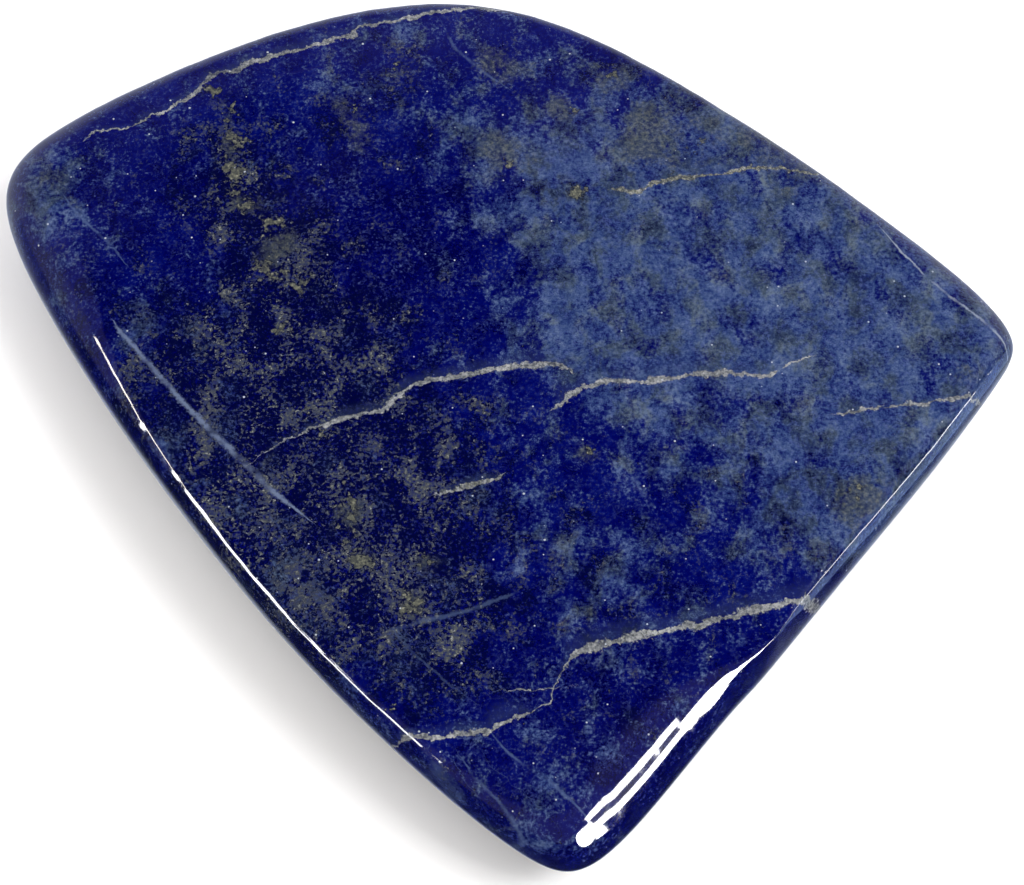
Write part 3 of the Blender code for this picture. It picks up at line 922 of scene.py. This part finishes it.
def polished_stone():
    rim = thin_out(waved(rim_of_the_stone()), LONGEST_FACET, SHARPEST_TURN)
    rings, foot, crown = rings_of_the_stone(rim)
    mesh = loft("polished_stone", rings, foot, crown)
    mark_the_stone(mesh)
    mesh.materials.append(lapis_material())
    stone = bpy.data.objects.new("polished_stone", mesh)
    bpy.context.scene.collection.objects.link(stone)
    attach(stone, "root")
    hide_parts("lapis_stone")
    return stone


def floor():
    mesh = bpy.data.meshes.new("floor")
    half = FLOOR_HALF
    corners = [(-half, -half, 0), (half, -half, 0), (half, half, 0), (-half, half, 0)]
    mesh.from_pydata(corners, [], [(0, 1, 2, 3)])
    material = bpy.data.materials.new("pale_floor")
    material.use_nodes = True
    recipe = Recipe(material.node_tree)
    shader = recipe.node("ShaderNodeBsdfDiffuse", {}, {"Color": FLOOR_WHITE})
    recipe.node("ShaderNodeOutputMaterial", {}, {"Surface": shader})
    mesh.materials.append(material)
    made = bpy.data.objects.new("floor", mesh)
    made.location.z = -FLOOR_DROP
    made.visible_glossy = False
    bpy.context.scene.collection.objects.link(made)


def lamp(name, azimuth, height_angle, distance, width, height, radiance, colour, turn=0.0,
         shape="RECTANGLE", *, seen):
    """A soft box that faces the stone. It is either seen in the polish or lights the stone."""
    light = bpy.data.lights.new(name, "AREA")
    light.shape = shape
    light.size = width
    light.size_y = height
    light.energy = radiance * width * height * LAMP_WATTS
    light.color = colour
    made = bpy.data.objects.new(name, light)
    around, up = np.radians(azimuth), np.radians(height_angle)
    toward = Vector((np.cos(around) * np.cos(up), np.sin(around) * np.cos(up), np.sin(up)))
    made.location = toward * distance
    made.rotation_euler = toward.to_track_quat("Z", "Y").to_euler()
    made.rotation_euler.rotate_axis("Z", np.radians(turn))
    made.visible_diffuse = not seen
    made.visible_glossy = seen
    bpy.context.scene.collection.objects.link(made)


def studio():
    """The lamps, and the glow all round."""
    for settings in LIGHTING_LAMPS:
        lamp(*settings, seen=False)
    for settings in GLOSS_LAMPS:
        lamp(*settings, seen=True)
    world = bpy.data.worlds.new("studio")
    bpy.context.scene.world = world
    world.use_nodes = True
    recipe = Recipe(world.node_tree)
    direction = recipe.node("ShaderNodeTexCoord", {}, {}, "Generated")
    back, up = recipe.node("ShaderNodeSeparateXYZ", {}, {"Vector": direction}, ("Y", "Z"))
    height = up * 0.5 + 0.5
    in_front = recipe.ramp(height, GLOW_IN_FRONT)
    behind = recipe.ramp(height, GLOW_BEHIND)
    glow = recipe.mixed(recipe.eased(back, *GLOW_CHANGES), in_front, behind)
    background = recipe.node("ShaderNodeBackground", {}, {"Color": glow, "Strength": 1.0})
    recipe.node("ShaderNodeOutputWorld", {}, {"Surface": background})


def camera():
    angle = np.radians(CAMERA_HEIGHT_ANGLE)
    lens = bpy.data.cameras.new("camera")
    lens.lens = LENS
    lens.sensor_width = SENSOR
    lens.clip_start = CLIP_START
    made = bpy.data.objects.new("camera", lens)
    back = Vector((0.0, -np.cos(angle), np.sin(angle)))
    made.location = (Vector(CAMERA_TARGET) + back * CAMERA_DISTANCE) * MM
    made.rotation_euler = (np.pi / 2 - angle, 0.0, 0.0)
    bpy.context.scene.collection.objects.link(made)
    bpy.context.scene.camera = made


def main():
    camera()
    floor()
    studio()
    polished_stone()
    bpy.context.scene.view_settings.view_transform = "Standard"


main()
